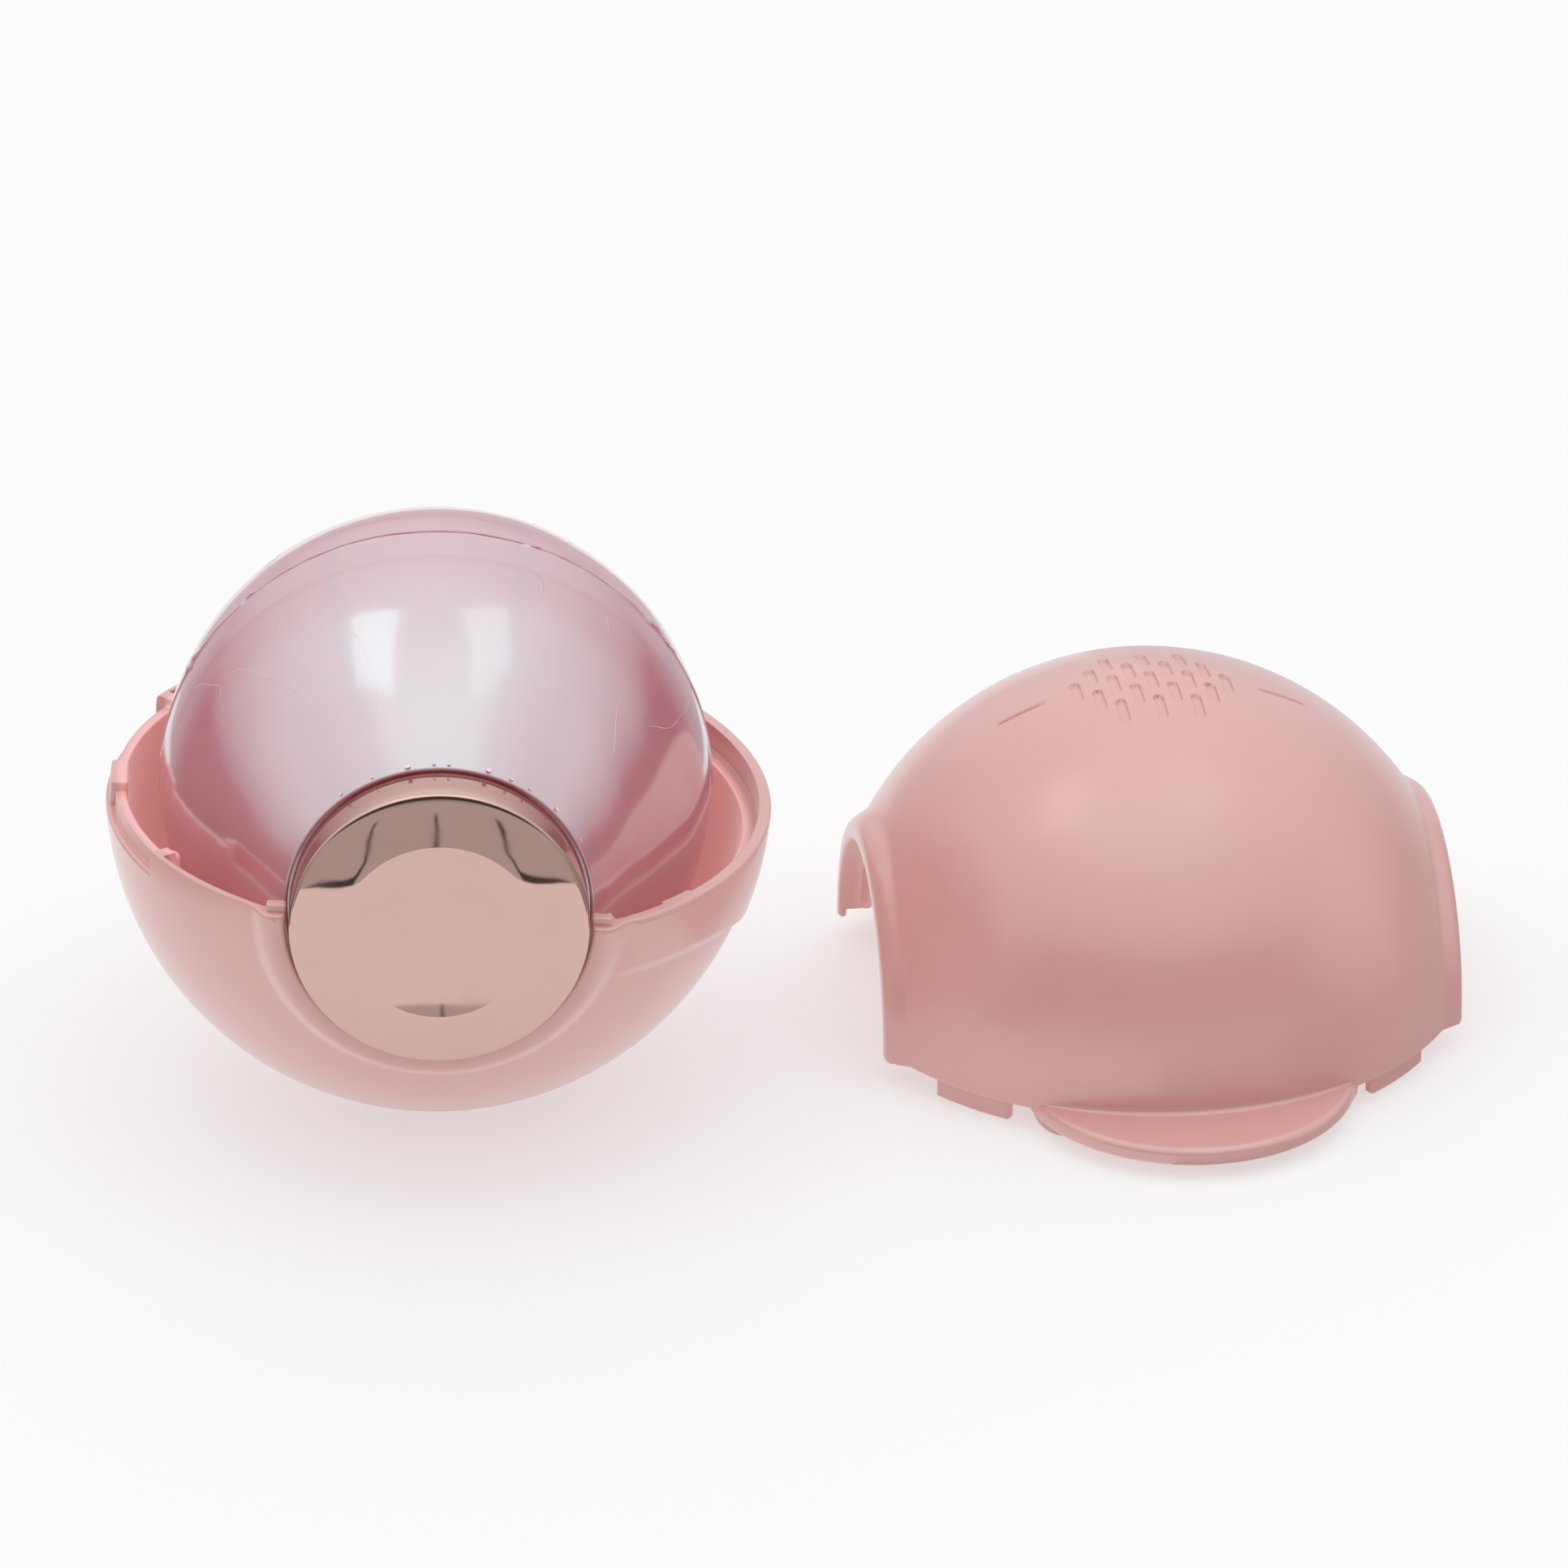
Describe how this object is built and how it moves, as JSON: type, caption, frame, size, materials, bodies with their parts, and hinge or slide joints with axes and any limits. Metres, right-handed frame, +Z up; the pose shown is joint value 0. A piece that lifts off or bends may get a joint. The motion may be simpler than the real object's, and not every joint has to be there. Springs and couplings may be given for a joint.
{
  "type": "lint catcher ball",
  "caption": "Ball-shaped lint catcher: a tacky gel ball turning on its end caps in a bowl, with a matching lift-off domed cover beside it.",
  "frame": {"origin": "centre of the bowl's small round foot, on the table", "axes": "+Z up, +Y along the ball's turning axis from the front cap to the rear one, +X towards the cover lying beside the bowl"},
  "size_m": [0.1558, 0.0898, 0.0683],
  "materials": {
    "lower_shell": "satin moulded pink plastic",
    "upper_shell": "satin moulded pink plastic",
    "gel_half_front": "glossy translucent rose gel",
    "gel_half_rear": "glossy translucent rose gel",
    "core_half_front": "smooth moulded plastic, hidden",
    "core_half_rear": "smooth moulded plastic, hidden",
    "end_cap_front": "mirror-bright rose-gold plating on plastic",
    "end_cap_rear": "mirror-bright rose-gold plating on plastic",
    "tie_bolt": "plain steel, hidden",
    "tie_nut": "plain steel, hidden"
  },
  "bodies": {
    "bowl": {"lower_shell": "lower_shell"},
    "ball": {"gel_half_front": "gel_half_front", "gel_half_rear": "gel_half_rear", "core_half_front": "core_half_front", "core_half_rear": "core_half_rear", "end_cap_front": "end_cap_front", "end_cap_rear": "end_cap_rear", "tie_bolt": "tie_bolt", "tie_nut": "tie_nut"},
    "cover": {"upper_shell": "upper_shell"}
  },
  "joints": [
    {"name": "ball_turn", "type": "hinge", "parent": "bowl", "child": "ball", "pos_m": [0, 0, 0.03684], "axis": [0, 1, 0], "continuous": true},
    {"name": "cover_lift", "type": "slide", "parent": "bowl", "child": "cover", "axis": [0, 0, 1], "range_m": [0, 0.09]}
  ]
}
